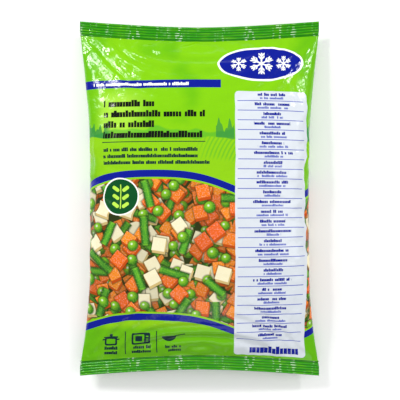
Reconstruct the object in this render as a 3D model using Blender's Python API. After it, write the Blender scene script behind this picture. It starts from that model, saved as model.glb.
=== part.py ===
"""Frozen vegetable bag: a full pillow bag of printed film that lies on its back.

Metres. The front faces +Z, the bag's top end points to +Y, and the flat back rests on z = 0.
The bag is one solid, as it is shut: the filled body and the crimped seal at each end.
"""
import math
import random

import bmesh
import bpy

# The film as it was cut, and the two seals that shut it.
SEAL_LENGTH = 0.016
SEAL_THICKNESS = 0.0012
CRIMP_PITCH = 0.0029
CRIMP_HEIGHT = 0.0009

# The filled bag.
LENGTH = 0.397
SEAL_WIDTH = 0.268
WAIST_WIDTH = 0.244
THICKNESS = 0.069
SIDE_HEIGHT = 0.029
SEAL_HEIGHT = 0.028
CORNER_HEIGHT = 0.017
SEAL_PULL = 0.008
TOP_SHOULDER = 0.127
BOTTOM_SHOULDER = 0.120
END_RISE = 0.125

# The film's relief: pieces of vegetable that press through, and puckers that start at a seal.
LUMP_SPACING = 0.021
LUMP_RADIUS = 0.010
LUMP_HEIGHT = 0.0013
PUCKER_SPACING = 0.033
PUCKER_DEPTH = 0.0022
PUCKER_WIDTH = 0.0065
CORNER_FOLD_DEPTH = 0.0035
CORNER_FOLD_WIDTH = 0.008
CORNER_FOLD_LENGTH = 0.060

COLUMNS = 36
BODY_ROWS = 42
SEAL_ROWS = 2 * round(SEAL_LENGTH / CRIMP_PITCH)

FILM_GREEN = (0.235, 0.546, 0.009, 1.0)

END = LENGTH / 2 - SEAL_LENGTH
ROWS = BODY_ROWS + 2 * SEAL_ROWS


def falloff(distance, width):
    """A bell of height 1 that is nearly gone at twice the width."""
    return math.exp(-(distance / width) ** 2)


def half_width(along):
    """Half of the bag's width at a place along it: widest at the flat seals."""
    top = max(0.0, 1 - max(0.0, END - along) / TOP_SHOULDER) ** 1.5
    bottom = max(0.0, 1 - max(0.0, END + along) / BOTTOM_SHOULDER) ** 2.2
    return WAIST_WIDTH / 2 + (SEAL_WIDTH - WAIST_WIDTH) / 2 * (top + bottom)


def roundness(share, power):
    """The height of a rounded section, 1 in the middle and 0 at the side fold."""
    return max(0.0, 1 - abs(share) ** power) ** (1 / power)


def seal_height(across):
    """A seal hangs lower at its corners than in its middle."""
    return CORNER_HEIGHT + (SEAL_HEIGHT - CORNER_HEIGHT) * (1 - across ** 2)


def seal_pull(across):
    """The fill draws the middle of a seal in, and leaves its corners out."""
    return SEAL_PULL * (1 - abs(across) ** 1.6)


def make_lumps(rng):
    """Centres and heights of the lumps: a loose grid, shaken."""
    lumps = []
    columns = int(WAIST_WIDTH / LUMP_SPACING)
    rows = int(2 * END / LUMP_SPACING)
    for row in range(rows):
        for column in range(columns):
            x = (column + 0.5 - columns / 2 + rng.uniform(-0.35, 0.35)) * LUMP_SPACING
            y = (row + 0.5 - rows / 2 + rng.uniform(-0.35, 0.35)) * LUMP_SPACING
            lumps.append((x, y, LUMP_HEIGHT * rng.uniform(0.2, 1.0)))
    return lumps


def make_puckers(rng):
    """Short hollows that run from a seal into the body: place, length and depth of each."""
    puckers = []
    count = int(SEAL_WIDTH / PUCKER_SPACING)
    for end in (-1, 1):
        for index in range(count):
            x = (index + 0.5 - count / 2 + rng.uniform(-0.25, 0.25)) * PUCKER_SPACING
            length = rng.uniform(0.025, 0.055)
            lean = -0.25 * x / SEAL_WIDTH + rng.uniform(-0.15, 0.15)
            puckers.append((x, end, length, lean, PUCKER_DEPTH * rng.uniform(0.4, 1.0)))
    return puckers


def lump_height(x, y, lumps):
    """How far the film stands out over the nearest lumps."""
    reach = 2.2 * LUMP_RADIUS
    height = 0.0
    for lump_x, lump_y, lump in lumps:
        if abs(x - lump_x) < reach and abs(y - lump_y) < reach:
            height = max(height, lump * falloff(math.hypot(x - lump_x, y - lump_y), LUMP_RADIUS))
    return height


def pucker_depth(x, y, puckers):
    """How deep the film dips where puckers run in from the nearer seal."""
    inward = END - abs(y)
    depth = 0.0
    for start, end, length, lean, deepest in puckers:
        if end * y > 0 and inward < length:
            away = abs(x - start - lean * inward)
            fade = math.sin(math.pi * min(1.0, max(0.0, inward) / length))
            depth = max(depth, deepest * fade * falloff(away, PUCKER_WIDTH))
    return depth


def corner_fold_depth(x, y):
    """The slanted hollow at each corner, from the seal's end towards the body's middle."""
    inward = END - abs(y)
    fold_x = SEAL_WIDTH / 2 - 0.020 - 0.28 * inward
    fade = math.sin(math.pi * min(1.0, max(0.0, inward) / CORNER_FOLD_LENGTH))
    return CORNER_FOLD_DEPTH * fade * falloff(abs(x) - fold_x, CORNER_FOLD_WIDTH)


def row_place(row):
    """How far a row lies along the bag, -1 to 1 over the body and beyond that on a seal."""
    if row < SEAL_ROWS:
        return -1 - (SEAL_ROWS - row) / SEAL_ROWS
    if row > SEAL_ROWS + BODY_ROWS:
        return 1 + (row - SEAL_ROWS - BODY_ROWS) / SEAL_ROWS
    share = 2 * (row - SEAL_ROWS) / BODY_ROWS - 1
    return math.sin(share * 0.8 * math.pi / 2) / math.sin(0.8 * math.pi / 2)


def seal_point(across, along, row, side):
    """A point on a crimped seal, whose rows stand up and lie down in turn."""
    end = math.copysign(1.0, along)
    y = end * (END - seal_pull(across) + (abs(along) - 1) * SEAL_LENGTH)
    crimp = CRIMP_HEIGHT / 2 * (1 if row % 2 else -1)
    z = seal_height(across) + crimp + side * SEAL_THICKNESS / 2
    return SEAL_WIDTH / 2 * across, y, z


def body_point(across, along, side, lumps, puckers):
    """A point on the filled body, on its front film (side 1) or its back film (side -1)."""
    middle = along * END
    y = middle - seal_pull(across) * along
    section = math.sin(across * 0.93 * math.pi / 2) / math.sin(0.93 * math.pi / 2)
    x = half_width(middle) * section
    rise = 1 - max(0.0, 1 - (END - abs(middle)) / END_RISE) ** 2.2
    fold = seal_height(across) + (SIDE_HEIGHT - seal_height(across)) * rise
    if side < 0:
        sag = (SIDE_HEIGHT + 0.010) * roundness(section, 2.6) * rise
        return x, y, max(0.0, fold - sag - SEAL_THICKNESS / 2)
    crown = (THICKNESS - SIDE_HEIGHT - SEAL_THICKNESS / 2) * roundness(section, 2.3) * rise
    relief = lump_height(x, y, lumps) - pucker_depth(x, y, puckers) - corner_fold_depth(x, y)
    inside = min(1.0, 2.5 * roundness(section, 2.0) * rise)
    return x, y, fold + SEAL_THICKNESS / 2 + crown + relief * inside


def film_point(column, row, side, lumps, puckers):
    """The place of one grid point of a film in the filled bag."""
    across = 2 * column / COLUMNS - 1
    along = row_place(row)
    if abs(along) > 1:
        return seal_point(across, along, row, side)
    return body_point(across, along, side, lumps, puckers)


def add_film(bm, side, lumps, puckers):
    """One film, a flat grid whose points are carried to their places in the filled bag."""
    grid = bmesh.ops.create_grid(bm, x_segments=COLUMNS, y_segments=ROWS, size=1.0)
    for vert in grid["verts"]:
        column = round((vert.co.x + 1) / 2 * COLUMNS)
        row = round((vert.co.y + 1) / 2 * ROWS)
        vert.co = film_point(column, row, side, lumps, puckers)
    if side < 0:
        faces = {face for vert in grid["verts"] for face in vert.link_faces}
        bmesh.ops.reverse_faces(bm, faces=list(faces))


def make_film_material():
    """Printed film: green and glossy."""
    material = bpy.data.materials.new("printed film")
    material.use_nodes = True
    shader = material.node_tree.nodes["Principled BSDF"]
    shader.inputs["Base Color"].default_value = FILM_GREEN
    shader.inputs["Roughness"].default_value = 0.3
    shader.inputs["Metallic"].default_value = 0.0
    return material


def make_bag(collection):
    """The whole bag: front film, back film, and the narrow edge that joins them."""
    rng = random.Random(7)
    lumps = make_lumps(rng)
    puckers = make_puckers(rng)
    bm = bmesh.new()
    add_film(bm, 1, lumps, puckers)
    add_film(bm, -1, lumps, puckers)
    border = [edge for edge in bm.edges if edge.is_boundary]
    bmesh.ops.bridge_loops(bm, edges=border)
    bmesh.ops.triangulate(bm, faces=bm.faces)
    bmesh.ops.recalc_face_normals(bm, faces=bm.faces)
    mesh = bpy.data.meshes.new("bag")
    bm.to_mesh(mesh)
    bm.free()
    mesh.shade_smooth()
    mesh.materials.append(make_film_material())
    bag = bpy.data.objects.new("bag", mesh)
    collection.objects.link(bag)


def main():
    for old in list(bpy.data.objects):
        bpy.data.objects.remove(old)
    collection = bpy.data.collections.new("frozen vegetable bag")
    bpy.context.scene.collection.children.link(collection)
    make_bag(collection)


main()
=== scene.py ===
"""Frozen vegetable bag: a full pillow bag of printed film that lies on its back, seen from straight above.

The film is one closed surface. It starts flat, is carried to the filled form, and is then let go
under a little inside pressure, so that it folds by itself at the corners and along the sides.
The whole print is made of fields of colour and simple shapes on the flat film's own map.
"""
import math

import bpy
import numpy as np
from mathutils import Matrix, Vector


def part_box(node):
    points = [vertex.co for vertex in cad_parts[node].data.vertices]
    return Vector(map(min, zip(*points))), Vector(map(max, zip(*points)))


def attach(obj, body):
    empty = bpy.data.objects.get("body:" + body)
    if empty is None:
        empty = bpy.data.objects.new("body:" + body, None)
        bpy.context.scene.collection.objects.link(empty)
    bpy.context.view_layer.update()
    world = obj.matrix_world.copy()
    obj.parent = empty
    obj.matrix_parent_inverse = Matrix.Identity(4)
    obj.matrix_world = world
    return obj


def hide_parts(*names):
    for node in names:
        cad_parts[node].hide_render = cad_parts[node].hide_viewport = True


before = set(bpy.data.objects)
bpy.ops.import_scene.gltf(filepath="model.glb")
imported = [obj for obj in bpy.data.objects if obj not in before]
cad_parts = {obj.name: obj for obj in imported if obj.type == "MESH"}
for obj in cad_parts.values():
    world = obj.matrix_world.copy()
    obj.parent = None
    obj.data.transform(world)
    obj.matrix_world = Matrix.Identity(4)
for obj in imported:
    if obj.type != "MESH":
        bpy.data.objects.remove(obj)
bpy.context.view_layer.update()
BAG_LOW, BAG_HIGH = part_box("bag")

# The film lying flat, metres. The tube is pressed flat, so each side is this wide.
FILM_WIDTH = 0.277
FILM_LENGTH = 0.405
SEAL_LENGTH = 0.016
SEAL_GAP = 0.0005
SEAL_START = FILM_LENGTH / 2 - SEAL_LENGTH

# The ridges that the sealing jaws leave: from crest to crest, their full height, and how fast they fade.
CRIMP_PITCH = 0.0029
CRIMP_HEIGHT = 0.0007
CRIMP_FADE = 0.0006

# The filled bag, metres, as the solid has it. Its seals sag at the corners and are drawn in at the middle.
LENGTH = BAG_HIGH[1] - BAG_LOW[1]
SEAL_WIDTH = BAG_HIGH[0] - BAG_LOW[0]
THICKNESS = 0.069
WAIST_WIDTH = 0.244
SIDE_HEIGHT = 0.029
SEAL_HEIGHT = 0.028
CORNER_HEIGHT = 0.017
SEAL_PULL = 0.008
TOP_SHOULDER = 0.127
BOTTOM_SHOULDER = 0.120
END_RISE = 0.125
END = LENGTH / 2 - SEAL_LENGTH

# Its form. A power nearer 1 is a straighter slope, and a higher one a squarer section.
TOP_FLARE = 1.5
BOTTOM_FLARE = 2.2
END_SWELL = 2.2
PULL_SPREAD = 1.6
FRONT_SQUARENESS = 2.3
BACK_SQUARENESS = 2.6
SIDE_CROWDING = 0.93
BACK_PRESS = 0.010
HELD_FIRMLY, HELD_LOOSELY = 1.0, 0.7

# The grid of faces on each side of the film. The seals have closer rows.
COLUMNS = 72
BODY_ROWS = 104
SEAL_ROWS = 14
ROWS = BODY_ROWS + 2 * SEAL_ROWS
BODY_SHARE = 1 - 2 * SEAL_LENGTH / FILM_LENGTH

# The print's inks, sRGB; "seal shade" is laid only as painted shade on the seals.
INKS = {
    "lime": "#79BF04",
    "deep lime": "#57A902",
    "light lime": "#B2E04A",
    "meadow": "#84C00C",
    "seal green": "#2A9000",
    "seal shade": "#0C5C04",
    "leaf green": "#004A1E",
    "tree green": "#1A7C3C",
    "hill green": "#46A626",
    "navy": "#00148A",
    "pale navy": "#5B66B4",
    "black": "#060A04",
    "dark text": "#04282C",
    "panel": "#CDD3DA",
    "white": "#F0F2EC",
    "carrot": "#EE8A0C",
    "carrot red": "#DC5808",
    "carrot side": "#B8480A",
    "root": "#E6DDB8",
    "root side": "#C4AC70",
    "pea": "#80BC26",
    "pea shade": "#266E14",
    "bean": "#4E9E2A",
    "bean shade": "#14501A",
    "gap": "#28300C",
}

# The print's layout, millimetres on the flat film, from the middle of its front.
FILM_ROUND = FILM_WIDTH * 2000
SEAL_LINE = SEAL_START * 1000
WAVE_PEAK, WAVE_MIDDLE, WAVE_HEIGHT, WAVE_FLATTENING = -52.0, 19.4, 15.0, -2.9
WAVE_BAND, WAVE_LINE, PICTURE_HEIGHT = 7.8, 2.2, 159.7
TOP_BAND = (-205.0, 23.8, 122.9, 132.0)
PANEL = (39.2, 122.6, -183.0, 119.0)
RULE_LEFT, RULE_RIGHT, FIRST_RULE, ROW_PITCH, RULE_COUNT = 42.0, 118.0, 108.0, 10.78, 26
PANEL_MIDDLE = (PANEL[0] + PANEL[1]) / 2
BADGE_MIDDLE, BADGE_RADIUS = (-87.8, 2.0), 21.0
PLAQUE_MIDDLE, PLAQUE_RADII = (70.0, 153.0), (50.0, 22.0)
PLAQUE_RIM, BADGE_RIM, PANEL_CORNER = 2.4, 1.6, 4.5

# How large the patterns in the print and the seals' painted sheen and glints are, millimetres. The streaks
# are much longer than they are wide.
CLOUD_SIZE, HILL_SIZE, CROWN_SIZE, FROST_SIZE = 50.0, 33.33, 6.25, 1.4286
BEAN_STREAK, SHEEN_STREAK = (20.0, 2.0), (20.0, 1.667)
GLINT_LENGTH, GLINT_GROUP = 5.0, 16.667
FILM_WAVE = 12.5

# Where strokes stand for words: the left, right, bottom and top of their places.
BAND_PLACE = (-121.0, -12.0, 124.5, 130.0)
TITLE_PLACES = ((-107.5, -50.0, 66.5, 110.0), (-50.0, 6.0, 89.4, 98.0), (-50.0, 3.0, 66.5, 75.0))
TITLE_RULE = (-108.0, 6.4, 62.0, 62.9)
SMALL_PLACES = ((-107.5, -2.0, 37.5, 57.0), (-2.0, 11.0, 37.5, 43.0))
WEIGHT_PLACE = (57.0, 114.0, -182.0, -168.0)

# Their first line's foot, the pitch of the lines, their height, and the pitch of the strokes.
BAND_STROKES = (125.6, 12.0, 3.6, 1.9)
TITLE_STROKES = (101.5, 11.57, 7.4, 3.3)
SMALL_STROKES = (52.0, 7.1, 4.2, 1.9)
CAPTION_STROKES = (-173.4, 6.0, 4.4, 2.1)
WEIGHT_STROKES = (-179.5, 20.0, 10.0, 4.6)


def deselect_all():
    """Nothing stays selected, so that the next operator acts on its own piece only."""
    bpy.ops.object.select_all(action="DESELECT")
    bpy.context.view_layer.objects.active = None


def half_width(along):
    """Half of the bag's width at a place along it, metres."""
    top = max(0.0, 1 - max(0.0, END - along) / TOP_SHOULDER) ** TOP_FLARE
    bottom = max(0.0, 1 - max(0.0, END + along) / BOTTOM_SHOULDER) ** BOTTOM_FLARE
    return WAIST_WIDTH / 2 + (SEAL_WIDTH - WAIST_WIDTH) / 2 * (top + bottom)


def roundness(share, power):
    """The height of a rounded section, 1 in the middle and 0 at the side."""
    return max(0.0, 1 - abs(share) ** power) ** (1 / power)


def seal_height(across):
    """A seal hangs lower at its corners than in its middle."""
    return CORNER_HEIGHT + (SEAL_HEIGHT - CORNER_HEIGHT) * (1 - across ** 2)


def seal_pull(across):
    """The fill draws the middle of a seal in, and leaves its corners out."""
    return SEAL_PULL * (1 - abs(across) ** PULL_SPREAD)


def filled_place(across, along, side):
    """Where a point of the flat film goes in the filled bag, and how firmly it is held there.

    across and along run from -1 to 1 over the flat film; side is 1 in front, -1 behind, 0 at the edge.
    """
    body = along / BODY_SHARE
    if abs(body) > 0.999:
        end = math.copysign(1.0, body)
        beyond = (abs(along) - BODY_SHARE) / (1 - BODY_SHARE) * SEAL_LENGTH
        y = end * (END - seal_pull(across) + beyond)
        return (SEAL_WIDTH / 2 * across, y, seal_height(across) + side * SEAL_GAP / 2), HELD_FIRMLY
    middle = body * END
    y = middle - seal_pull(across) * body
    section = math.sin(across * SIDE_CROWDING * math.pi / 2) / math.sin(SIDE_CROWDING * math.pi / 2)
    x = half_width(middle) * section
    rise = 1 - max(0.0, 1 - (END - abs(middle)) / END_RISE) ** END_SWELL
    fold = seal_height(across) + (SIDE_HEIGHT - seal_height(across)) * rise
    if side < 0:
        z = fold - (SIDE_HEIGHT + BACK_PRESS) * roundness(section, BACK_SQUARENESS) * rise
        return (x, y, max(z, SEAL_GAP)), HELD_FIRMLY if z < 0 else HELD_LOOSELY
    z = fold + (THICKNESS - SIDE_HEIGHT) * roundness(section, FRONT_SQUARENESS) * rise
    return (x, y, z), HELD_LOOSELY


def flat_along(row):
    """How far a row of the grid lies along the flat film, -1 to 1: the seals have closer rows."""
    if row < SEAL_ROWS:
        return -1 + (1 - BODY_SHARE) * row / SEAL_ROWS
    if row > SEAL_ROWS + BODY_ROWS:
        return 1 - (1 - BODY_SHARE) * (ROWS - row) / SEAL_ROWS
    return BODY_SHARE * (2 * (row - SEAL_ROWS) / BODY_ROWS - 1)


# Each side of the flat film starts this far from the middle plane, metres, which tells front from back.
START_BULGE = 0.001


def add_flat_side(side):
    """One side of the flat film: a grid with its rows moved, and its own half of the film's map."""
    deselect_all()
    bpy.ops.mesh.primitive_grid_add(x_subdivisions=COLUMNS, y_subdivisions=ROWS, size=2)
    film = bpy.context.object
    for vert in film.data.vertices:
        column = round((vert.co.x + 1) / 2 * COLUMNS)
        row = round((vert.co.y + 1) / 2 * ROWS)
        edge = column in (0, COLUMNS) or row in (0, ROWS)
        across, along = 2 * column / COLUMNS - 1, flat_along(row)
        bulge = 0.0 if edge else side * START_BULGE
        vert.co = (across * FILM_WIDTH / 2, along * FILM_LENGTH / 2, SIDE_HEIGHT + bulge)
    film.data.uv_layers[0].name = "film"
    film_map = film.data.uv_layers["film"].data
    for loop in film.data.loops:
        x, y, _ = film.data.vertices[loop.vertex_index].co
        across = x / FILM_WIDTH + 0.5 + (0 if side > 0 else 1)
        film_map[loop.index].uv = (across / 2, y / FILM_LENGTH + 0.5)
    if side < 0:
        bpy.ops.object.mode_set(mode="EDIT")
        bpy.ops.mesh.select_all(action="SELECT")
        bpy.ops.mesh.flip_normals()
        bpy.ops.object.mode_set(mode="OBJECT")
    return film


def add_flat_film():
    """The flat tube: both sides, welded all round."""
    front, back = add_flat_side(1), add_flat_side(-1)
    deselect_all()
    front.select_set(True)
    back.select_set(True)
    bpy.context.view_layer.objects.active = front
    bpy.ops.object.join()
    bpy.ops.object.mode_set(mode="EDIT")
    bpy.ops.mesh.select_all(action="SELECT")
    bpy.ops.mesh.remove_doubles(threshold=0.00001)
    bpy.ops.object.mode_set(mode="OBJECT")
    front.name = front.data.name = "film_bag"
    return front


# The simulation: the film is filled, let go over a few frames, and then settles.
FILL_FRAMES = 12
RELEASE_FRAMES = 4
LAST_FRAME = 34
FILLED_VOLUME = 0.0042
FILM_FEEL = {
    "quality": 6,
    "mass": 0.01,
    "tension_stiffness": 100,
    "compression_stiffness": 50,
    "shear_stiffness": 33,
    "bending_stiffness": 0.05,
    "tension_damping": 5,
    "compression_damping": 5,
    "shear_damping": 5,
    "bending_damping": 0.2,
    "air_damping": 0.5,
}

# At a frame, how firmly the film is held to the filled form, and the pressure inside.
HOLD_AND_PRESSURE = (
    (1, 50, 0),
    (FILL_FRAMES - 1, 50, 0),
    (FILL_FRAMES, 50, 1200),
    (FILL_FRAMES + RELEASE_FRAMES, 0.02, 2500),
)


def fill_film(film):
    """Cloth simulation: the film is carried to the filled form and then let go, but for the seals."""
    hold = film.vertex_groups.new(name="hold")
    film.shape_key_add(name="flat")
    filled = film.shape_key_add(name="filled")
    for vert in film.data.vertices:
        across = vert.co.x / FILM_WIDTH * 2
        along = vert.co.y / FILM_LENGTH * 2
        side = round((vert.co.z - SIDE_HEIGHT) / START_BULGE)
        filled.data[vert.index].co, weight = filled_place(across, along, side)
        hold.add([vert.index], weight, "REPLACE")
    filled.value = 0
    filled.keyframe_insert("value", frame=1)
    filled.value = 1
    filled.keyframe_insert("value", frame=FILL_FRAMES)
    film.modifiers.new("fill", "CLOTH")
    cloth = film.modifiers["fill"].settings
    for name, value in FILM_FEEL.items():
        setattr(cloth, name, value)
    cloth.effector_weights.gravity = 0
    cloth.vertex_group_mass = "hold"
    cloth.use_pressure = True
    cloth.use_pressure_volume = True
    cloth.target_volume = FILLED_VOLUME
    film.modifiers["fill"].point_cache.frame_end = LAST_FRAME
    for frame_number, held, pressure in HOLD_AND_PRESSURE:
        cloth.pin_stiffness = held
        cloth.keyframe_insert("pin_stiffness", frame=frame_number)
        cloth.pressure_factor = pressure
        cloth.keyframe_insert("pressure_factor", frame=frame_number)
    for frame_number in range(1, LAST_FRAME + 1):
        bpy.context.scene.frame_set(frame_number)
    settled = film.evaluated_get(bpy.context.evaluated_depsgraph_get())
    shape = bpy.data.meshes.new_from_object(settled)
    film.modifiers.clear()
    film.shape_key_clear()
    film.vertex_groups.clear()
    film.animation_data_clear()
    flat = film.data
    film.data = shape
    bpy.data.meshes.remove(flat)
    shape.name = film.name
    bpy.context.scene.frame_set(1)


def film_coordinates(mesh):
    """Where each vertex lies on the flat film: metres from its middle, and 1 in front or -1 behind."""
    corners = np.empty(len(mesh.loops), int)
    mesh.loops.foreach_get("vertex_index", corners)
    places = np.empty(len(mesh.loops) * 2)
    mesh.uv_layers["film"].data.foreach_get("uv", places)
    places = places.reshape(-1, 2)
    found = np.empty((len(mesh.vertices), 2))
    found[corners] = places
    side = np.where(found[:, 0] < 0.5, 1, -1)
    across = (found[:, 0] * 2 - np.where(side > 0, 0.5, 1.5)) * FILM_WIDTH
    along = (found[:, 1] - 0.5) * FILM_LENGTH
    return across, along, side


# What is pressed into the film, metres: its size and height, and how far from a seal it starts, or fades.
LUMP_SIZE, LUMP_HEIGHT = 0.014, 0.0009
LUMP_START, LUMP_RISE = 0.004, 0.03
CREASE_SIZE, CREASE_HEIGHT = 0.018, 0.0016
CREASE_RISE, CREASE_END, CREASE_FADE = 0.012, 0.075, 0.05
FLOOR_START, FLOOR_RISE = 0.006, 0.01


def ramp(value, start, length):
    """0 up to the start, then evenly up to 1 over the length."""
    return min(max((value - start) / length, 0), 1)


def press(film, texture, height, group):
    """Moves the film out and in by a texture, as far as the vertex group lets it."""
    push = film.modifiers.new("press", "DISPLACE")
    push.texture = texture
    push.texture_coords = "LOCAL"
    push.strength = height
    push.mid_level = 0.5
    push.vertex_group = group
    bpy.ops.object.modifier_apply(modifier="press")
    film.vertex_groups.clear()


def press_lumps(film):
    """The frozen dice show through the film as small lumps, but not in the seals or underneath."""
    along = film_coordinates(film.data)[1]
    loose = film.vertex_groups.new(name="loose")
    for vert in film.data.vertices:
        from_seal = SEAL_START - abs(along[vert.index])
        weight = ramp(from_seal, LUMP_START, LUMP_RISE) * ramp(vert.co.z, FLOOR_START, FLOOR_RISE)
        loose.add([vert.index], weight, "REPLACE")
    lumps = bpy.data.textures.new("dice under the film", "CLOUDS")
    lumps.noise_scale = LUMP_SIZE
    lumps.noise_depth = 1
    press(film, lumps, LUMP_HEIGHT, "loose")


def crease_ends(film):
    """The slack film between a seal and the filled part is crumpled, most of all near the corners."""
    across, along, _ = film_coordinates(film.data)
    slack = film.vertex_groups.new(name="slack")
    for vert in film.data.vertices:
        from_seal = SEAL_START - abs(along[vert.index])
        near = ramp(from_seal, 0, CREASE_RISE) * ramp(CREASE_END - from_seal, 0, CREASE_FADE)
        aside = 0.3 + 0.7 * (2 * across[vert.index] / FILM_WIDTH) ** 2
        weight = near * aside * ramp(vert.co.z, FLOOR_START, FLOOR_RISE)
        slack.add([vert.index], weight, "REPLACE")
    creases = bpy.data.textures.new("creases in the film", "VORONOI")
    creases.noise_scale = CREASE_SIZE
    creases.weight_1, creases.weight_2 = -1, 1
    press(film, creases, CREASE_HEIGHT, "slack")


def vertex_places(mesh):
    """Where each vertex is, one row each."""
    places = np.empty(len(mesh.vertices) * 3)
    mesh.vertices.foreach_get("co", places)
    return places.reshape(-1, 3)


def move_vertices(mesh, places):
    """Each vertex goes to its own row's place."""
    mesh.vertices.foreach_set("co", places.ravel())
    mesh.update()


def fit_to_solid(film):
    """The film is drawn in to the filled bag's sides, stretched to its length, and lies on the floor."""
    mesh = film.data
    across, along, side = film_coordinates(mesh)
    places = vertex_places(mesh)
    rows = np.round(along / FILM_LENGTH * 1000).astype(int)
    for row in np.unique(rows):
        here = rows == row
        x, y = places[here, 0], places[here, 1].mean()
        wanted = half_width(y)
        places[here, 0] = np.where(x > 0, x * wanted / x.max(), -x * wanted / x.min())
    places[:, 1] *= LENGTH / 2 / np.abs(places[:, 1]).max()
    part_layers(places, across, along, side)
    places[:, 2] = np.maximum(places[:, 2], 0.0)
    move_vertices(mesh, places)


def part_layers(places, across, along, side):
    """Where the film is thin, its front stays above its back, so that neither shows through the other."""
    spot = np.round(across * 10000).astype(int) * 100000 + np.round(along * 10000).astype(int)
    front, back = np.flatnonzero(side > 0), np.flatnonzero(side < 0)
    _, over, under = np.intersect1d(spot[front], spot[back], return_indices=True)
    over, under = front[over], back[under]
    short = np.maximum(SEAL_GAP - (places[over, 2] - places[under, 2]), 0) / 2
    places[over, 2] += short
    places[under, 2] -= short


def finish_film(film):
    """A finer mesh with lumps and creases, the solid's size, and the ridges of the sealing jaws."""
    deselect_all()
    film.select_set(True)
    bpy.context.view_layer.objects.active = film
    finer = film.modifiers.new("finer", "SUBSURF")
    finer.levels = finer.render_levels = 1
    bpy.ops.object.modifier_apply(modifier="finer")
    press_lumps(film)
    crease_ends(film)
    fit_to_solid(film)
    mesh = film.data
    along = film_coordinates(mesh)[1]
    places = vertex_places(mesh)
    inset = np.abs(along) - SEAL_START
    depth = np.clip(inset / CRIMP_FADE, 0, 1) * np.clip((SEAL_LENGTH - inset) / CRIMP_FADE, 0, 1)
    places[:, 2] += CRIMP_HEIGHT / 2 * depth * np.cos(2 * np.pi * inset / CRIMP_PITCH)
    move_vertices(mesh, places)
    bpy.ops.object.shade_smooth()


def linear(hex_colour):
    """An sRGB hex colour as linear red, green, blue and alpha."""
    parts = [int(hex_colour[start:start + 2], 16) / 255 for start in (1, 3, 5)]
    return tuple(p / 12.92 if p <= 0.04045 else ((p + 0.055) / 1.055) ** 2.4 for p in parts) + (1.0,)


def add_node(tree, kind, inputs=None, output=0, **settings):
    """Adds a node with its settings and links, and gives back one of its outputs, or all of them."""
    node = tree.nodes.new("ShaderNode" + kind)
    for name, value in settings.items():
        setattr(node, name, value)
    for key, value in (inputs or {}).items():
        if isinstance(value, bpy.types.NodeSocket):
            tree.links.new(value, node.inputs[key])
        else:
            node.inputs[key].default_value = value
    return list(node.outputs) if output is None else node.outputs[output]


def where_all(tree, *masks):
    """1 where every one of the masks is 1."""
    result = masks[0]
    for mask in masks[1:]:
        result = add_node(tree, "Math", {0: result, 1: mask}, operation="MULTIPLY")
    return result


def where_any(tree, *masks):
    """1 where any of the masks is 1."""
    result = masks[0]
    for mask in masks[1:]:
        result = add_node(tree, "Math", {0: result, 1: mask}, operation="MAXIMUM")
    return result


def lay_inks(tree, ground, *inks):
    """The colours so far, with each ink laid over it where its mask says."""
    for mask, ink in inks:
        colour = linear(INKS[ink]) if isinstance(ink, str) else ink
        ground = add_node(tree, "Mix", {0: mask, 6: ground, 7: colour}, output=2, data_type="RGBA")
    return ground


def film_place(tree, behind=False):
    """Millimetres on the film, unrolled from the front round both sides to the seam down the back."""
    film = add_node(tree, "UVMap", uv_map="film")
    u, v, _ = add_node(tree, "SeparateXYZ", {0: film}, output=None)
    middle = 0.75 if behind else 0.25
    x = add_node(tree, "Math", {0: u, 1: FILM_ROUND, 2: -middle * FILM_ROUND}, operation="MULTIPLY_ADD")
    length = FILM_LENGTH * 1000
    y = add_node(tree, "Math", {0: v, 1: length, 2: -length / 2}, operation="MULTIPLY_ADD")
    if behind:
        side = add_node(tree, "Math", {0: x}, operation="SIGN")
        x = add_node(tree, "Math", {0: x, 1: -1.0}, operation="MULTIPLY")
        x = add_node(tree, "Math", {0: side, 1: FILM_ROUND / 2, 2: x}, operation="MULTIPLY_ADD")
    return x, y, add_node(tree, "CombineXYZ", {0: x, 1: y})


def box(tree, x, y, left, right, bottom, top):
    """1 inside an upright box."""
    across = {0: x, 1: (left + right) / 2, 2: (right - left) / 2}
    across = add_node(tree, "Math", across, operation="COMPARE")
    along = {0: y, 1: (bottom + top) / 2, 2: (top - bottom) / 2}
    along = add_node(tree, "Math", along, operation="COMPARE")
    return where_all(tree, across, along)


def round_box(tree, place, left, right, bottom, top, radius, turn=0.0):
    """1 inside a box with round corners, turned about its middle."""
    middle = ((left + right) / 2, (bottom + top) / 2, 0)
    half = ((right - left) / 2 - radius, (top - bottom) / 2 - radius, 1)
    away = add_node(tree, "VectorMath", {0: place, 1: middle}, operation="SUBTRACT")
    away = add_node(tree, "VectorRotate", {"Vector": away, "Angle": -turn}, rotation_type="Z_AXIS")
    away = add_node(tree, "VectorMath", {0: away}, operation="ABSOLUTE")
    away = add_node(tree, "VectorMath", {0: away, 1: half}, operation="SUBTRACT")
    away = add_node(tree, "VectorMath", {0: away, 1: (0, 0, 0)}, operation="MAXIMUM")
    far = add_node(tree, "VectorMath", {0: away}, output="Value", operation="LENGTH")
    return add_node(tree, "Math", {0: far, 1: radius}, operation="LESS_THAN")


def oval(tree, place, middle, radii):
    """1 inside an upright oval."""
    scale = (1 / radii[0], 1 / radii[1], 0)
    shift = (-middle[0] / radii[0], -middle[1] / radii[1], 0)
    away = add_node(tree, "VectorMath", {0: place, 1: scale, 2: shift}, operation="MULTIPLY_ADD")
    far = add_node(tree, "VectorMath", {0: away}, output="Value", operation="LENGTH")
    return add_node(tree, "Math", {0: far, 1: 1.0}, operation="LESS_THAN")


def soft_step(tree, value, zero_at, one_at, most=1.0):
    """0 on one side of a soft step and the most on the other."""
    ends = {"Value": value, "From Min": zero_at, "From Max": one_at, "To Max": most}
    return add_node(tree, "MapRange", ends, interpolation_type="SMOOTHSTEP", clamp=False)


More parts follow.
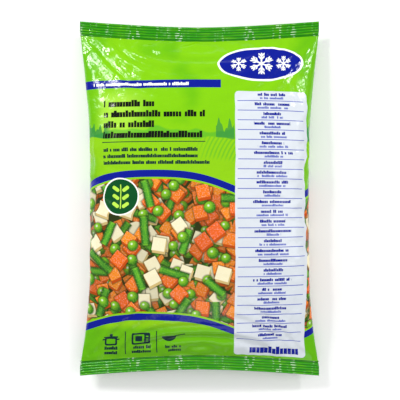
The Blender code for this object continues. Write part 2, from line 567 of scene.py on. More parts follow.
def wave_top(tree, x):
    """The height of the upper blue wave's top edge, which peaks left of the middle of the front."""
    turns = 4 * math.pi / FILM_ROUND
    phase = add_node(tree, "Math", {0: x, 1: turns, 2: -WAVE_PEAK * turns}, operation="MULTIPLY_ADD")
    double = add_node(tree, "Math", {0: phase, 1: 2.0}, operation="MULTIPLY")
    swell = add_node(tree, "Math", {0: phase}, operation="COSINE")
    flat = add_node(tree, "Math", {0: double}, operation="COSINE")
    height = add_node(tree, "Math", {0: swell, 1: WAVE_HEIGHT, 2: WAVE_MIDDLE}, operation="MULTIPLY_ADD")
    return add_node(tree, "Math", {0: flat, 1: WAVE_FLATTENING, 2: height}, operation="MULTIPLY_ADD")


def set_strokes(tree, x, y, first_foot, line_pitch, height, stroke_pitch):
    """Even lines of plain upright strokes, which spell nothing.

    One stroke in ten is left out, and chance makes the rest uneven in width and some of them taller.
    """
    headroom = 1.15 * height
    scaled = {0: y, 1: -1 / line_pitch, 2: (first_foot + headroom) / line_pitch}
    down = add_node(tree, "Math", scaled, operation="MULTIPLY_ADD")
    line = add_node(tree, "Math", {0: down}, operation="FLOOR")
    part = add_node(tree, "Math", {0: down, 1: line}, operation="SUBTRACT")
    above = add_node(tree, "Math", {0: part, 1: -line_pitch, 2: headroom}, operation="MULTIPLY_ADD")
    place = add_node(tree, "Math", {0: x, 1: 1 / stroke_pitch}, operation="MULTIPLY")
    stroke = add_node(tree, "Math", {0: place}, operation="FLOOR")
    part = add_node(tree, "Math", {0: place, 1: stroke}, operation="SUBTRACT")
    which = add_node(tree, "CombineXYZ", {0: stroke, 1: line, 2: height})
    chance = add_node(tree, "TexWhiteNoise", {0: which}, output=1, noise_dimensions="3D")
    red, green, blue = add_node(tree, "SeparateColor", {0: chance}, output=None)
    there = add_node(tree, "Math", {0: red, 1: 0.1}, operation="GREATER_THAN")
    half = add_node(tree, "Math", {0: green, 1: 0.1, 2: 0.4}, operation="MULTIPLY_ADD")
    across = add_node(tree, "Math", {0: part, 1: 0.5, 2: half}, operation="COMPARE")
    tall = add_node(tree, "Math", {0: blue, 1: 0.72}, operation="GREATER_THAN")
    reach = add_node(tree, "Math", {0: tall, 1: 0.25 * height, 2: 0.75 * height}, operation="MULTIPLY_ADD")
    foot = add_node(tree, "Math", {0: above, 1: 0.0}, operation="GREATER_THAN")
    head = add_node(tree, "Math", {0: above, 1: reach}, operation="LESS_THAN")
    return where_all(tree, there, across, foot, head)


def boxes(tree, x, y, *sides):
    """1 inside any of several upright boxes, each given by its left, right, bottom and top."""
    return where_any(tree, *(box(tree, x, y, *one) for one in sides))


def print_ground_and_side_shade(tree, x, y, place, aside):
    """The lime ground: paler behind the titles, and deeper in clouds and at the foot; towards the sides it
    is darkened with painted shade, where the film turns away round the bag.
    """
    cloud = {"Vector": place, "Scale": 1 / CLOUD_SIZE, "Detail": 2.0}
    cloud = add_node(tree, "TexNoise", cloud, noise_dimensions="2D")
    deep = soft_step(tree, cloud, 0.45, 0.8, 0.7)
    left = where_all(tree, soft_step(tree, x, -45.0, -90.0), soft_step(tree, x, -122.0, -104.0))
    titles = where_all(tree, soft_step(tree, y, 128.0, 104.0), soft_step(tree, y, 34.0, 62.0))
    pale = where_all(tree, left, titles, 0.6)
    low, foot = soft_step(tree, y, 92.0, 50.0), soft_step(tree, y, -140.0, -150.0, 0.8)
    return lay_inks(
        tree, linear(INKS["lime"]),
        (deep, "deep lime"), (low, "meadow"), (pale, "light lime"), (foot, "deep lime"),
        # Painted shade: deep lime towards the sides of the front, where the film turns away round the bag.
        (soft_step(tree, aside, 106.0, 128.0, 0.6), "deep lime"),
    )


def print_meadow(tree, x, y, place):
    """The ground of the print with its painted side shade, and far hills, rows of conifers on them, and a
    furrowed field in front.
    """
    aside = add_node(tree, "Math", {0: x}, operation="ABSOLUTE")
    ground = print_ground_and_side_shade(tree, x, y, place, aside)
    only_across = add_node(tree, "CombineXYZ", {0: x})
    slope = {"Vector": only_across, "Scale": 1 / HILL_SIZE, "Detail": 1.0}
    slope = add_node(tree, "TexNoise", slope, noise_dimensions="2D")
    ridge = add_node(tree, "Math", {0: slope, 1: 26.0, 2: 64.0}, operation="MULTIPLY_ADD")
    under = add_node(tree, "Math", {0: ridge, 1: y}, operation="SUBTRACT")
    hills = where_all(tree, soft_step(tree, under, 0.0, 2.5), soft_step(tree, under, 22.0, 8.0, 0.65))
    crowns = {"Vector": only_across, "Scale": 1 / CROWN_SIZE, "Detail": 1.0}
    crowns = add_node(tree, "TexNoise", crowns, noise_dimensions="2D")
    tree_top = add_node(tree, "Math", {0: crowns, 1: 44.0, 2: 58.0}, operation="MULTIPLY_ADD")
    standing = add_node(tree, "Math", {0: tree_top, 1: y}, operation="GREATER_THAN")
    far_trees = where_all(tree, box(tree, x, y, 18.0, 38.0, 0.0, 110.0), 0.7)
    clusters = where_any(tree, soft_step(tree, aside, 96.0, 106.0, 0.8), far_trees)
    trees = where_all(tree, standing, soft_step(tree, y, 60.0, 68.0), clusters)
    field_top = add_node(tree, "Math", {0: slope, 1: -20.0, 2: 76.0}, operation="MULTIPLY_ADD")
    field = add_node(tree, "Math", {0: field_top, 1: y}, operation="SUBTRACT")
    field = where_all(tree, soft_step(tree, field, 0.0, 1.5), soft_step(tree, field, 28.0, 20.0))
    far = add_node(tree, "VectorMath", {0: place, 1: (92.0, 20.0, 0)}, output="Value", operation="DISTANCE")
    furrow = add_node(tree, "Math", {0: far, 1: 1.5}, operation="MULTIPLY")
    furrow = add_node(tree, "Math", {0: furrow}, operation="SINE")
    furrow = where_all(
        tree, field, soft_step(tree, furrow, -0.2, 0.8, 0.5), soft_step(tree, x, -10.0, 15.0)
    )
    return lay_inks(
        tree, ground,
        (hills, "hill green"), (trees, "tree green"), (field, "meadow"), (furrow, "hill green"),
    )


# In the picture, millimetres: how far a piece's shade reaches, how deep it is, and how soft an edge is.
SHADE_REACH, SHADE_DEPTH, EDGE = 2.4, 0.75, 0.5


def spread_pieces(tree, place, spacing, turn, shift, looseness):
    """Loose places for a layer of pieces: the place about each one's middle, and three chances."""
    laid = add_node(tree, "Mapping", {"Vector": place, "Location": (*shift, 0), "Rotation": (0, 0, turn)})
    cells = {"Vector": laid, "Scale": 1 / spacing, "Randomness": looseness}
    _, chances, middle, *_ = add_node(tree, "TexVoronoi", cells, output=None, voronoi_dimensions="2D")
    inner = add_node(tree, "VectorMath", {0: laid, 1: middle}, operation="SUBTRACT")
    level = add_node(tree, "VectorRotate", {"Vector": inner, "Angle": -turn}, rotation_type="Z_AXIS")
    return level, add_node(tree, "SeparateColor", {0: chances}, output=None)


def outside_square(tree, inner, angle, half, lower):
    """How far a point is outside a turned square, millimetres, when the square lies that much lower."""
    moved = add_node(tree, "VectorMath", {0: inner, 1: (-0.3 * lower, lower, 0)}, operation="ADD")
    turned = add_node(tree, "VectorRotate", {"Vector": moved, "Angle": angle}, rotation_type="Z_AXIS")
    away = add_node(tree, "VectorMath", {0: turned}, operation="ABSOLUTE")
    across, along, _ = add_node(tree, "SeparateXYZ", {0: away}, output=None)
    far = add_node(tree, "Math", {0: across, 1: along}, operation="MAXIMUM")
    return add_node(tree, "Math", {0: far, 1: half}, operation="SUBTRACT")


def lay_cubes(tree, ground, place, frost, spacing, turn, shift, half, pale_share):
    """A layer of diced carrot and root: each dice has a lit top and a darker side, and throws a shade."""
    inner, (first, second, third) = spread_pieces(tree, place, spacing, turn, shift, 0.5)
    angle = add_node(tree, "Math", {0: first, 1: math.pi / 2}, operation="MULTIPLY")
    size = add_node(tree, "Math", {0: second, 1: 0.2 * half, 2: 0.85 * half}, operation="MULTIPLY_ADD")
    top = outside_square(tree, inner, angle, size, 0.0)
    sides = [outside_square(tree, inner, angle, size, lower) for lower in (1.5, 3.0)]
    outline = add_node(tree, "Math", {0: sides[0], 1: sides[1]}, operation="MINIMUM")
    outline = add_node(tree, "Math", {0: outline, 1: top}, operation="MINIMUM")
    pale = add_node(tree, "Math", {0: third, 1: pale_share}, operation="LESS_THAN")
    flesh = lay_inks(tree, linear(INKS["carrot"]), (second, "carrot red"), (pale, "root"), (frost, "white"))
    dark = lay_inks(tree, linear(INKS["carrot side"]), (pale, "root side"))
    shade = soft_step(tree, outline, SHADE_REACH, 0.0, SHADE_DEPTH)
    body = soft_step(tree, outline, EDGE, 0.0)
    face = soft_step(tree, top, EDGE, 0.0)
    return lay_inks(tree, ground, (shade, "gap"), (body, dark), (face, flesh))


def lay_peas(tree, ground, place, frost, spacing, turn, shift, radius, share):
    """A layer of peas: round, lit from the upper left, with a small highlight."""
    inner, (first, second, _) = spread_pieces(tree, place, spacing, turn, shift, 0.6)
    size = add_node(tree, "Math", {0: first, 1: 0.25 * radius, 2: 0.85 * radius}, operation="MULTIPLY_ADD")
    far = add_node(tree, "VectorMath", {0: inner}, output="Value", operation="LENGTH")
    edge = add_node(tree, "Math", {0: far, 1: size}, operation="SUBTRACT")
    lit = add_node(tree, "VectorMath", {0: inner, 1: (-1.4, 1.8, 0)}, output="Value", operation="DISTANCE")
    glow, spark = soft_step(tree, lit, 7.5, 1.0), soft_step(tree, lit, 1.8, 0.4, 0.75)
    skin = lay_inks(tree, linear(INKS["pea shade"]), (glow, "pea"), (frost, "light lime"), (spark, "white"))
    there = add_node(tree, "Math", {0: second, 1: share}, operation="LESS_THAN")
    shade = where_all(tree, soft_step(tree, edge, SHADE_REACH, 0.0, SHADE_DEPTH), there)
    body = where_all(tree, soft_step(tree, edge, EDGE, 0.0), there)
    return lay_inks(tree, ground, (shade, "gap"), (body, skin))


def lay_beans(tree, ground, place, frost, spacing, turn, shift, half, half_length, share):
    """A layer of cut green beans: short round rods, lit along the middle, with paler cut ends."""
    inner, (first, second, third) = spread_pieces(tree, place, spacing, turn, shift, 0.4)
    angle = add_node(tree, "Math", {0: first, 1: math.pi}, operation="MULTIPLY")
    turned = add_node(tree, "VectorRotate", {"Vector": inner, "Angle": angle}, rotation_type="Z_AXIS")
    away = add_node(tree, "VectorMath", {0: turned}, operation="ABSOLUTE")
    along, across, _ = add_node(tree, "SeparateXYZ", {0: away}, output=None)
    length = {0: second, 1: 0.35 * half_length, 2: 0.75 * half_length}
    length = add_node(tree, "Math", length, operation="MULTIPLY_ADD")
    beyond = add_node(tree, "Math", {0: along, 1: length}, operation="SUBTRACT")
    beside = add_node(tree, "Math", {0: across, 1: half}, operation="SUBTRACT")
    edge = add_node(tree, "Math", {0: beyond, 1: beside}, operation="MAXIMUM")
    stretch = (1 / BEAN_STREAK[0], 1 / BEAN_STREAK[1], 0)
    stripes = add_node(tree, "VectorMath", {0: turned, 1: stretch}, operation="MULTIPLY")
    stripes = {"Vector": stripes, "Scale": 1.0, "Detail": 2.0}
    streak = add_node(tree, "TexNoise", stripes, noise_dimensions="2D")
    streak, cut = soft_step(tree, streak, 0.5, 0.75, 0.5), soft_step(tree, beyond, -2.0, -1.2, 0.3)
    darker = soft_step(tree, second, 0.4, 1.0, 0.5)
    skin = lay_inks(tree, linear(INKS["bean"]), (darker, "bean shade"), (streak, "pea"), (cut, "pea"))
    lit = soft_step(tree, across, half, 0.2 * half)
    rod = lay_inks(tree, linear(INKS["bean shade"]), (lit, skin), (frost, "light lime"))
    there = add_node(tree, "Math", {0: third, 1: share}, operation="LESS_THAN")
    shade = where_all(tree, soft_step(tree, edge, SHADE_REACH, 0.0, SHADE_DEPTH), there)
    body = where_all(tree, soft_step(tree, edge, EDGE, 0.0), there)
    return lay_inks(tree, ground, (shade, "gap"), (body, rod))


# The lowest layer first. In each: how it is laid, how far all below it is dimmed afterwards, how far apart
# the pieces are, how their rows are turned and shifted, half their width, and for beans half their length.
# Last comes the share of pale dice, or the share of places that hold a pea or a bean.
VEGETABLE_LAYERS = (
    (lay_beans, 0.0, 24, 0.4, (3, 7), 4.2, 14, 0.8),
    (lay_cubes, 0.0, 17, 0.9, (0, 0), 6.4, 0.2),
    (lay_peas, 0.3, 16, 0.2, (5, 2), 5.2, 0.7),
    (lay_cubes, 0.0, 19, 0.3, (9, 4), 6.7, 0.15),
    (lay_beans, 0.2, 34, 1.1, (13, 5), 4.2, 15, 0.8),
    (lay_cubes, 0.0, 27, 0.7, (2, 19), 6.8, 0.3),
    (lay_peas, 0.1, 25, 0.8, (11, 8), 5.5, 0.7),
    (lay_cubes, 0.0, 38, 0.5, (17, 3), 7.0, 0.35),
    (lay_beans, 0.0, 44, 0.1, (21, 9), 4.3, 16, 0.85),
    (lay_peas, 0.0, 36, 0.6, (4, 15), 5.7, 0.7),
)


def print_vegetables(tree, place):
    """The picture of diced vegetables: layer upon layer of dice, peas and cut beans, lightly frosted."""
    frost = {"Vector": place, "Scale": 1 / FROST_SIZE, "Detail": 3.0}
    frost = add_node(tree, "TexNoise", frost, noise_dimensions="2D")
    frost = soft_step(tree, frost, 0.45, 0.9, 0.4)
    picture = linear(INKS["gap"])
    for lay, dimming, *layer in VEGETABLE_LAYERS:
        picture = lay(tree, picture, place, frost, *layer)
        if dimming:
            picture = lay_inks(tree, picture, (dimming, "gap"))
    return picture


def print_waves(tree, x, y, ground, picture):
    """The picture between its two blue waves, each with a thin lime line along its inner edge."""
    top = wave_top(tree, x)
    under = add_node(tree, "Math", {0: top, 1: y}, operation="SUBTRACT")
    bands = (
        (0.0, WAVE_BAND, "navy"),
        (WAVE_BAND, WAVE_BAND + WAVE_LINE, "meadow"),
        (WAVE_BAND + WAVE_LINE, PICTURE_HEIGHT - WAVE_LINE, picture),
        (PICTURE_HEIGHT - WAVE_LINE, PICTURE_HEIGHT, "meadow"),
        (PICTURE_HEIGHT, PICTURE_HEIGHT + WAVE_BAND, "navy"),
    )
    for start, end, ink in bands:
        half = (end - start) / 2
        band = add_node(tree, "Math", {0: under, 1: start + half, 2: half}, operation="COMPARE")
        ground = lay_inks(tree, ground, (band, ink))
    return ground


def print_titles(tree, x, y, ground):
    """The blue top band, and the places of the titles, their rule and the small lines under them."""
    band = box(tree, x, y, *TOP_BAND)
    band_line = where_all(tree, box(tree, x, y, *BAND_PLACE), set_strokes(tree, x, y, *BAND_STROKES))
    ground = lay_inks(tree, ground, (band, "navy"), (band_line, "white"))
    titles = where_all(tree, boxes(tree, x, y, *TITLE_PLACES), set_strokes(tree, x, y, *TITLE_STROKES))
    small = where_all(tree, boxes(tree, x, y, *SMALL_PLACES), set_strokes(tree, x, y, *SMALL_STROKES))
    rule = box(tree, x, y, *TITLE_RULE)
    return lay_inks(tree, ground, (titles, "black"), (where_any(tree, small, rule), "dark text"))


def row_length(tree, x, row, step, shortest, longest):
    """1 where a row's centred line runs. Its half length swings between two values from row to row."""
    turn = add_node(tree, "Math", {0: row, 1: step}, operation="MULTIPLY")
    share = add_node(tree, "Math", {0: turn}, operation="SINE")
    ends = {0: share, 1: (longest - shortest) / 2, 2: (longest + shortest) / 2}
    half = add_node(tree, "Math", ends, operation="MULTIPLY_ADD")
    return add_node(tree, "Math", {0: x, 1: PANEL_MIDDLE, 2: half}, operation="COMPARE")


RULE_WIDTH = 0.9

# In each row a bold line over a thin one: how their lengths vary, their foot, height and stroke pitch.
PANEL_LINES = (((2.4, 10.0, 22.0), 5.3, 3.4, 1.9), ((1.7, 9.0, 18.0), 9.0, 2.7, 1.6))


def print_panel(tree, x, y, place, ground):
    """The pale panel with its ruled rows and, at its foot, a heavier line of strokes."""
    left, right, bottom, top = PANEL
    panel = round_box(tree, place, left, right, bottom, top, PANEL_CORNER)
    last_rule = FIRST_RULE - (RULE_COUNT - 1) * ROW_PITCH
    down = add_node(tree, "Math", {0: y, 1: -1.0, 2: FIRST_RULE + ROW_PITCH}, operation="MULTIPLY_ADD")
    ruled = add_node(tree, "Math", {0: down, 1: ROW_PITCH / 2}, operation="PINGPONG")
    ruled = add_node(tree, "Math", {0: ruled, 1: RULE_WIDTH / 2}, operation="LESS_THAN")
    rules = where_all(tree, ruled, box(tree, x, y, RULE_LEFT, RULE_RIGHT, last_rule - 1, FIRST_RULE + 1))
    row = add_node(tree, "Math", {0: down, 1: 1 / ROW_PITCH}, operation="MULTIPLY")
    row = add_node(tree, "Math", {0: row}, operation="FLOOR")
    ruled_part = box(tree, x, y, left, right, last_rule, top)
    first_row = FIRST_RULE + ROW_PITCH
    bold, thin = (
        where_all(
            tree, ruled_part, row_length(tree, x, row, *lengths),
            set_strokes(tree, x, y, first_row - foot, ROW_PITCH, height, pitch),
        )
        for lengths, foot, height, pitch in PANEL_LINES
    )
    heavy = where_all(tree, box(tree, x, y, *WEIGHT_PLACE), set_strokes(tree, x, y, *WEIGHT_STROKES))
    return lay_inks(
        tree, ground,
        (panel, "panel"), (rules, "pale navy"), (thin, "pale navy"), (bold, "navy"), (heavy, "navy"),
    )


def snowflake(tree, place, middle, size):
    """1 inside a six-armed snowflake with a pair of twigs on each arm."""
    away = add_node(tree, "VectorMath", {0: place, 1: (*middle, 0)}, operation="SUBTRACT")
    across, along, _ = add_node(tree, "SeparateXYZ", {0: away}, output=None)
    angle = add_node(tree, "Math", {0: across, 1: along}, operation="ARCTAN2")
    folded = add_node(tree, "Math", {0: angle, 1: math.pi / 6}, operation="PINGPONG")
    far = add_node(tree, "VectorMath", {0: away}, output="Value", operation="LENGTH")
    cosine = add_node(tree, "Math", {0: folded}, operation="COSINE")
    sine = add_node(tree, "Math", {0: folded}, operation="SINE")
    out = add_node(tree, "Math", {0: far, 1: cosine}, operation="MULTIPLY")
    beside = add_node(tree, "Math", {0: far, 1: sine}, operation="MULTIPLY")
    short = add_node(tree, "Math", {0: out, 1: size}, operation="LESS_THAN")
    arm = add_node(tree, "Math", {0: beside, 1: 0.07 * size}, operation="LESS_THAN")
    flake = where_all(tree, arm, short)
    for root in (0.42, 0.68):
        lean = add_node(tree, "Math", {0: out, 1: -root * size}, operation="ADD")
        twig = add_node(tree, "Math", {0: lean, 1: beside, 2: 0.09 * size}, operation="COMPARE")
        near = add_node(tree, "Math", {0: beside, 1: 0.26 * size}, operation="LESS_THAN")
        flake = where_any(tree, flake, where_all(tree, twig, near, short))
    return flake


def print_plaque(tree, place, ground):
    """A plain blue oval with a white rim and three snowflakes."""
    across, along = PLAQUE_RADII
    away = add_node(tree, "VectorMath", {0: place, 1: (*PLAQUE_MIDDLE, 0)}, operation="SUBTRACT")
    folded = add_node(tree, "VectorMath", {0: away}, operation="ABSOLUTE")
    flakes = where_any(tree, snowflake(tree, away, (0, 0), 13.5), snowflake(tree, folded, (26, 0), 9.0))
    return lay_inks(
        tree, ground,
        (oval(tree, away, (0, 0), PLAQUE_RADII), "white"),
        (oval(tree, away, (0, 0), (across - PLAQUE_RIM, along - PLAQUE_RIM)), "navy"),
        (flakes, "white"),
    )


def print_badge(tree, place, ground):
    """A dark green disc with a white rim and a sprig of three pairs of leaves."""
    away = add_node(tree, "VectorMath", {0: place, 1: (*BADGE_MIDDLE, 0)}, operation="SUBTRACT")
    across, along, _ = add_node(tree, "SeparateXYZ", {0: away}, output=None)
    beside = add_node(tree, "Math", {0: across}, operation="ABSOLUTE")
    half_sprig, leaf_pitch = 13.5, 9.0
    raised = add_node(tree, "Math", {0: along, 1: half_sprig}, operation="ADD")
    step = add_node(tree, "Math", {0: raised, 1: leaf_pitch}, operation="FLOORED_MODULO")
    leaf = add_node(tree, "CombineXYZ", {0: beside, 1: step})
    leaf = round_box(tree, leaf, 1.2, 10.0, 2.2, 6.2, 1.9, math.radians(35))
    within = add_node(tree, "Math", {0: along, 1: 0.0, 2: half_sprig}, operation="COMPARE")
    stem = add_node(tree, "Math", {0: beside, 1: 0.6}, operation="LESS_THAN")
    sprig = where_all(tree, where_any(tree, leaf, stem), within)
    inner = BADGE_RADIUS - BADGE_RIM
    return lay_inks(
        tree, ground,
        (oval(tree, place, BADGE_MIDDLE, (BADGE_RADIUS, BADGE_RADIUS)), "white"),
        (oval(tree, place, BADGE_MIDDLE, (inner, inner)), "leaf green"),
        (sprig, "light lime"),
    )


def print_cooking_signs(tree, x, y, place, ground):
    """Plain signs for a pot, an oven and a pan, with dividers and strokes beneath."""
    pot = round_box(tree, place, -109.8, -94.7, -167.8, -157.4, 2.2)
    lid_and_handles = boxes(tree, x, y, (-110.8, -93.7, -158.0, -156.2), (-112.6, -92.0, -160.8, -159.0))
    lid_knob = oval(tree, place, (-102.2, -154.8), (1.9, 1.7))
    pot = where_any(tree, pot, lid_and_handles, lid_knob)
    pot_inside = round_box(tree, place, -107.6, -96.9, -165.6, -159.4, 1.0)
    oven = round_box(tree, place, -77.5, -55.9, -167.4, -152.1, 1.8)
    oven_door = round_box(tree, place, -75.4, -62.8, -165.2, -154.3, 1.0)
    knobs = [(-60.6, -58.0, at, at + 1.5) for at in (-157.2, -160.8, -164.4)]
    oven_inside = where_any(tree, oven_door, boxes(tree, x, y, *knobs))
    oven_window = round_box(tree, place, -73.2, -65.0, -163.0, -156.4, 0.8)
    bowl = where_all(
        tree, oval(tree, place, (-34.5, -157.2), (8.4, 7.2)), box(tree, x, y, -43.0, -26.0, -165.0, -157.2)
    )
    handle = round_box(tree, place, -28.4, -15.8, -157.0, -154.8, 1.0, math.radians(18))
    dividers = boxes(tree, x, y, *((at - 0.55, at + 0.55, -180.6, -150.0) for at in (-85.0, -48.7)))
    places = ((at - half, at + half, -180.0, -168.0) for at, half in ((-102, 8), (-66.5, 11), (-30, 9)))
    captions = where_all(tree, boxes(tree, x, y, *places), set_strokes(tree, x, y, *CAPTION_STROKES))
    return lay_inks(
        tree, ground,
        (where_any(tree, pot, oven), "dark text"), (where_any(tree, pot_inside, oven_inside), "deep lime"),
        (where_any(tree, oven_window, bowl, handle, dividers, captions), "dark text"),
    )


def print_seal_and_painted_light(tree, x, y):
    """The pressed ends: a deeper green, with painted shade between the ridges and along the inner edge,
    painted sheen in pale streaks along the ridges, and painted white glints on their crests.
    """
    away = add_node(tree, "Math", {0: y}, operation="ABSOLUTE")
    inset = add_node(tree, "Math", {0: away, 1: -SEAL_LINE}, operation="ADD")
    pitch = CRIMP_PITCH * 1000
    ridge = add_node(tree, "Math", {0: inset, 1: pitch / 2}, operation="PINGPONG")
    # Painted shade in the valleys between the crimp ridges.
    valley_shade = soft_step(tree, ridge, 0.2 * pitch, 0.45 * pitch, 0.8)
    # Painted sheen: paler streaks along the ridges, standing in for the light they catch.
    stretch = (1 / SHEEN_STREAK[0], 1 / SHEEN_STREAK[1], 1)
    stretched = add_node(tree, "CombineXYZ", {0: x, 1: y})
    stretched = add_node(tree, "VectorMath", {0: stretched, 1: stretch}, operation="MULTIPLY")
    painted_sheen = {"Vector": stretched, "Scale": 1.0, "Detail": 3.0}
    painted_sheen = add_node(tree, "TexNoise", painted_sheen, noise_dimensions="2D")
    painted_sheen = soft_step(tree, painted_sheen, 0.45, 0.7, 0.75)
    # Painted glints: short white dashes in groups on the ridge crests, for where they catch the light.
    number = add_node(tree, "Math", {0: inset, 1: 1 / pitch}, operation="MULTIPLY")
    number = add_node(tree, "Math", {0: number}, operation="FLOOR")
    ridge_shift = 7.7
    dashes = add_node(tree, "CombineXYZ", {0: x, 1: number})
    stretch = (1 / GLINT_LENGTH, ridge_shift, 1)
    dashes = add_node(tree, "VectorMath", {0: dashes, 1: stretch}, operation="MULTIPLY")
    dashes = {"Vector": dashes, "Scale": 1.0, "Detail": 1.0}
    dashes = add_node(tree, "TexNoise", dashes, noise_dimensions="2D")
    groups = {"Vector": add_node(tree, "CombineXYZ", {0: x}), "Scale": 1 / GLINT_GROUP, "Detail": 1.0}
    groups = add_node(tree, "TexNoise", groups, noise_dimensions="2D")
    painted_glints = where_all(tree, soft_step(tree, dashes, 0.54, 0.64), soft_step(tree, groups, 0.47, 0.62, 0.65))
    painted_glints = where_all(tree, painted_glints, soft_step(tree, ridge, 0.26 * pitch, 0.12 * pitch))
    # Painted shadow: a dark line along the seal's inner edge, where the filled film rises from it.
    edge = soft_step(tree, inset, 1.2, 0.2, 0.8)
    return lay_inks(
        tree, linear(INKS["seal green"]),
        (painted_sheen, "deep lime"), (valley_shade, "seal shade"), (edge, "seal shade"), (painted_glints, "white"),
    )


# Polyethylene, index about 1.5: glossy, but the cold takes half of its reflection away and hazes it.
FILM_IOR = 1.47
FILM_REFLECTION = 0.25
FILM_ROUGHNESS, FILM_HAZE = 0.1, 0.1


def finish_film_shader(tree, place, colour):
    """The film's gloss: a clear outer face over the print, a little wavy and hazy with cold."""
    waves = {"Vector": place, "Scale": 1 / FILM_WAVE, "Detail": 3.0}
    waves = add_node(tree, "TexNoise", waves, noise_dimensions="2D")
    bump = add_node(tree, "Bump", {"Height": waves, "Strength": 0.4, "Distance": 0.002})
    haze = soft_step(tree, waves, 0.3, 0.7)
    roughness = {0: haze, 1: FILM_HAZE, 2: FILM_ROUGHNESS}
    roughness = add_node(tree, "Math", roughness, operation="MULTIPLY_ADD")
    shader = tree.nodes["Principled BSDF"]
    shader.inputs["IOR"].default_value = FILM_IOR
    shader.inputs["Specular IOR Level"].default_value = FILM_REFLECTION
    tree.links.new(colour, shader.inputs["Base Color"])
    tree.links.new(roughness, shader.inputs["Roughness"])
    tree.links.new(bump, shader.inputs["Normal"])


def start_film(name):
    """A new film material, and its node tree."""
    film = bpy.data.materials.new(name)
    film.use_nodes = True
    return film, film.node_tree


def make_front_film():
    """Polyethylene film, printed on its inner face: the gloss lies over the colours."""
    film, tree = start_film("printed polyethylene film, front")
    x, y, place = film_place(tree)
    colour_so_far = print_meadow(tree, x, y, place)
    colour_so_far = print_waves(tree, x, y, colour_so_far, print_vegetables(tree, place))
    colour_so_far = print_titles(tree, x, y, colour_so_far)
    colour_so_far = print_badge(tree, place, colour_so_far)
    colour_so_far = print_cooking_signs(tree, x, y, place, colour_so_far)
    colour_so_far = print_panel(tree, x, y, place, colour_so_far)
    colour_so_far = print_plaque(tree, place, colour_so_far)
    finish_film_shader(tree, place, colour_so_far)
    return film


LAP_WIDTH = 12.0


def make_back_film():
    """The same film on the back: the ground and the picture run round, and a lap seam runs down it."""
    film, tree = start_film("printed polyethylene film, back")
    x, y, place = film_place(tree, behind=True)
    colour_so_far = print_meadow(tree, x, y, place)
    colour_so_far = print_waves(tree, x, y, colour_so_far, print_vegetables(tree, place))
    away = add_node(tree, "Math", {0: x}, operation="ABSOLUTE")
    lap = add_node(tree, "Math", {0: away, 1: FILM_ROUND / 2 - LAP_WIDTH / 2}, operation="GREATER_THAN")
    finish_film_shader(tree, place, lay_inks(tree, colour_so_far, (lap, "deep lime")))
    return film


def make_sealed_film():
    """The same film pressed hot between ribbed jaws: both layers are one, and the green is deeper."""
    film, tree = start_film("heat sealed polyethylene film")
    x, y, place = film_place(tree)
    finish_film_shader(tree, place, print_seal_and_painted_light(tree, x, y))
    return film


def dress_film(film):
    """Each face of the film takes the front, the back or the sealed material, by its place on the film."""
    mesh = film.data
    mesh.materials.clear()
    for material in (make_front_film(), make_back_film(), make_sealed_film()):
        mesh.materials.append(material)
    film_map = mesh.uv_layers["film"].data
    for face in mesh.polygons:
        u = sum(film_map[loop].uv.x for loop in face.loop_indices) / face.loop_total
        v = sum(film_map[loop].uv.y for loop in face.loop_indices) / face.loop_total
        sealed = abs(v - 0.5) * FILM_LENGTH * 1000 > SEAL_LINE
        face.material_index = 2 if sealed else int(u > 0.5)


def make_bag():
    """The bag in one piece of film, in the place of the solid."""
    film = add_flat_film()
    fill_film(film)
    finish_film(film)
    dress_film(film)
    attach(film, "root")
    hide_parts("bag")


# The photo's frame: straight down on the bag from well above it.
IMAGE_PIXELS = 400
PIXEL_SIZE = 0.001117
BAG_CENTRE_PIXEL = (199.5, 198.5)
CAMERA_DISTANCE = 2.2
SCALE_HEIGHT = 0.025


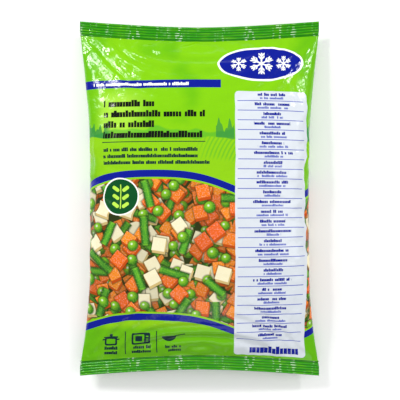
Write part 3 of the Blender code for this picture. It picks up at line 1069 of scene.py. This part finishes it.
def make_camera():
    """A long lens that looks straight down, its frame as wide as the photo's at the seals' height."""
    view = bpy.data.cameras.new("camera")
    view.sensor_width = 36
    view.lens = view.sensor_width * CAMERA_DISTANCE / (IMAGE_PIXELS * PIXEL_SIZE)
    camera = bpy.data.objects.new("camera", view)
    x = (IMAGE_PIXELS / 2 - BAG_CENTRE_PIXEL[0]) * PIXEL_SIZE
    y = (BAG_CENTRE_PIXEL[1] - IMAGE_PIXELS / 2) * PIXEL_SIZE
    camera.location = (x, y, SCALE_HEIGHT + CAMERA_DISTANCE)
    bpy.context.scene.collection.objects.link(camera)
    bpy.context.scene.camera = camera


LIGHTS_AIM = Vector((0, 0, 0.03))


def add_softbox(name, place, size, watts):
    """A square soft light that faces the bag."""
    lamp = bpy.data.lights.new(name, "AREA")
    lamp.size = size
    lamp.energy = watts
    softbox = bpy.data.objects.new(name, lamp)
    softbox.location = place
    softbox.rotation_euler = (LIGHTS_AIM - Vector(place)).to_track_quat("-Z", "Y").to_euler()
    bpy.context.scene.collection.objects.link(softbox)


# Matt white paper under the bag: bright and even, with no shine.
PAPER_WHITE = "#FDFDFD"
PAPER_ROUGHNESS = 0.9
SURROUND_STRENGTH = 0.48

# Each light's place, width and watts. The small ones draw streaks on the folds.
SOFTBOXES = {
    "key softbox": ((-1.7, 1.2, 1.5), 0.5, 34),
    "fill softbox": ((1.6, 0.0, 1.6), 1.2, 15),
    "foot softbox": ((0.2, -1.7, 1.7), 1.2, 10),
    "left strip": ((-0.9, 1.6, 1.4), 0.16, 12),
    "right strip": ((1.5, 1.0, 1.2), 0.16, 9),
}


def make_studio():
    """A pale floor, an even pale surround and soft lights."""
    deselect_all()
    bpy.ops.mesh.primitive_plane_add(size=6, location=(0, 0, 0))
    floor = bpy.context.object
    floor.name = "studio_floor"
    paper = bpy.data.materials.new("white studio paper")
    paper.use_nodes = True
    shader = paper.node_tree.nodes["Principled BSDF"]
    shader.inputs["Base Color"].default_value = linear(PAPER_WHITE)
    shader.inputs["Roughness"].default_value = PAPER_ROUGHNESS
    floor.data.materials.append(paper)
    world = bpy.data.worlds.new("studio")
    world.use_nodes = True
    world.node_tree.nodes["Background"].inputs["Color"].default_value = (1, 1, 1, 1)
    world.node_tree.nodes["Background"].inputs["Strength"].default_value = SURROUND_STRENGTH
    bpy.context.scene.world = world
    bpy.context.scene.view_settings.view_transform = "Standard"
    for name, (place, size, watts) in SOFTBOXES.items():
        add_softbox(name, place, size, watts)


make_camera()
make_studio()
make_bag()
